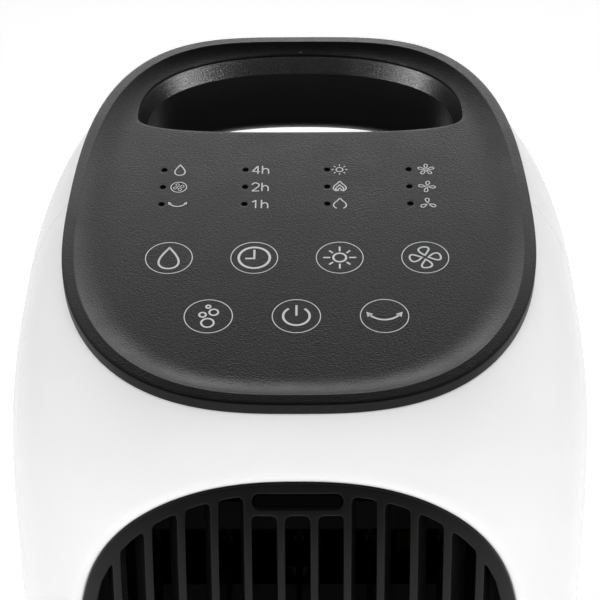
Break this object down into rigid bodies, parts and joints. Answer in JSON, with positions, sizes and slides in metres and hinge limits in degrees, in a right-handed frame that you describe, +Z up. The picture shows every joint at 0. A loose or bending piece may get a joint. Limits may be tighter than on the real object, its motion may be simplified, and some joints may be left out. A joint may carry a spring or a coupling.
{
  "type": "air cooler and fan heater tower",
  "caption": "Floor-standing white tower air cooler and heater with tilted black control top, rear carry handle, black front grille, fan, wet pad and water tank.",
  "frame": {"origin": "on the floor under the middle of the body", "axes": "+Z up, -Y towards the front grille, +X to the right of someone facing the grille"},
  "size_m": [0.2586, 0.304, 0.6387],
  "materials": {
    "shell_white": "glossy moulded white",
    "cap_black": "fine-grained black with satin sheen",
    "grille_black": "satin black",
    "inner_black": "matt black moulded",
    "frame_grey": "dark grey moulded",
    "smoke_window": "polished smoked window",
    "rubber_black": "soft matt rubber",
    "motor_steel": "plated steel",
    "heater_aluminium": "bare rolled aluminium",
    "circuit_green": "solder-masked circuit board",
    "light_guide_clear": "clear moulded light pipes",
    "pad_paper": "corrugated cellulose",
    "tank_plastic": "smoky blue translucent",
    "gauge_clear": "clear",
    "hose_silicone": "milky silicone"
  },
  "bodies": {
    "housing": {"front_shell": "shell_white", "rear_shell": "shell_white", "handle_bar_underside": "shell_white", "top_cap": "cap_black", "handle_liner": "cap_black", "handle_scoop": "cap_black", "front_grille": "grille_black", "louvre_frame": "inner_black", "fan_housing": "inner_black", "housing_lid": "inner_black", "heater_frame": "inner_black", "ioniser": "inner_black", "water_pump": "inner_black", "tilt_switch": "inner_black", "base": "inner_black", "top_plate": "inner_black", "chassis": "inner_black", "pad_frame": "frame_grey", "water_distributor": "frame_grey", "drip_tray": "frame_grey", "receiver_window": "smoke_window", "motor_mount": "rubber_black", "cord_gland": "rubber_black", "foot_1": "rubber_black", "foot_2": "rubber_black", "foot_3": "rubber_black", "foot_4": "rubber_black", "swing_motor": "motor_steel", "fan_motor": "motor_steel", "fan_bearing": "motor_steel", "thermal_cutout": "motor_steel", "base_screw_1": "motor_steel", "base_screw_2": "motor_steel", "base_screw_3": "motor_steel", "base_screw_4": "motor_steel", "rear_screw_1": "motor_steel", "rear_screw_2": "motor_steel", "rear_screw_3": "motor_steel", "rear_screw_4": "motor_steel", "heater_core": "heater_aluminium", "control_board": "circuit_green", "receiver_board": "circuit_green", "power_board": "circuit_green", "light_guide": "light_guide_clear", "evaporative_pad": "pad_paper", "water_hose": "hose_silicone"},
    "fan": {"fan_impeller": "inner_black"},
    "louvre_link": {"louvre_link": "inner_black"},
    "tank": {"water_tank": "tank_plastic", "tank_front": "shell_white", "level_window": "gauge_clear"},
    "door": {"intake_door": "shell_white", "dust_filter": "frame_grey"},
    "louvre_1": {"louvre_1": "inner_black"},
    "louvre_2": {"louvre_2": "inner_black"},
    "louvre_3": {"louvre_3": "inner_black"},
    "louvre_4": {"louvre_4": "inner_black"},
    "louvre_5": {"louvre_5": "inner_black"}
  },
  "joints": [
    {"name": "fan_spin", "type": "hinge", "parent": "housing", "child": "fan", "pos_m": [0, 0.002, 0.345], "axis": [0, 0, 1], "continuous": true},
    {"name": "louvre_3_swing", "type": "hinge", "parent": "housing", "child": "louvre_3", "pos_m": [0, -0.1035, 0.374], "axis": [0, 0, 1], "range_deg": [-30, 30]},
    {"name": "louvre_1_swing", "type": "hinge", "parent": "housing", "child": "louvre_1", "pos_m": [-0.06, -0.1035, 0.374], "axis": [0, 0, 1], "range_deg": [-30, 30]},
    {"name": "louvre_2_swing", "type": "hinge", "parent": "housing", "child": "louvre_2", "pos_m": [-0.03, -0.1035, 0.374], "axis": [0, 0, 1], "range_deg": [-30, 30]},
    {"name": "louvre_4_swing", "type": "hinge", "parent": "housing", "child": "louvre_4", "pos_m": [0.03, -0.1035, 0.374], "axis": [0, 0, 1], "range_deg": [-30, 30]},
    {"name": "louvre_5_swing", "type": "hinge", "parent": "housing", "child": "louvre_5", "pos_m": [0.06, -0.1035, 0.374], "axis": [0, 0, 1], "range_deg": [-30, 30]},
    {"name": "louvre_link_slide", "type": "slide", "parent": "housing", "child": "louvre_link", "axis": [1, 0, 0], "range_m": [-0.0075, 0.0075]},
    {"name": "tank_slide", "type": "slide", "parent": "housing", "child": "tank", "axis": [0, 1, 0], "range_m": [0, 0.17]},
    {"name": "door_tilt", "type": "hinge", "parent": "housing", "child": "door", "pos_m": [0, 0.1505, 0.205], "axis": [-1, 0, 0], "range_deg": [0, 55]}
  ],
  "couplings": [
    {"joint": "louvre_1_swing", "follows": "louvre_3_swing", "ratio": 1},
    {"joint": "louvre_2_swing", "follows": "louvre_3_swing", "ratio": 1},
    {"joint": "louvre_4_swing", "follows": "louvre_3_swing", "ratio": 1},
    {"joint": "louvre_5_swing", "follows": "louvre_3_swing", "ratio": 1},
    {"joint": "louvre_link_slide", "follows": "louvre_3_swing", "m_per_rad": -0.014}
  ]
}
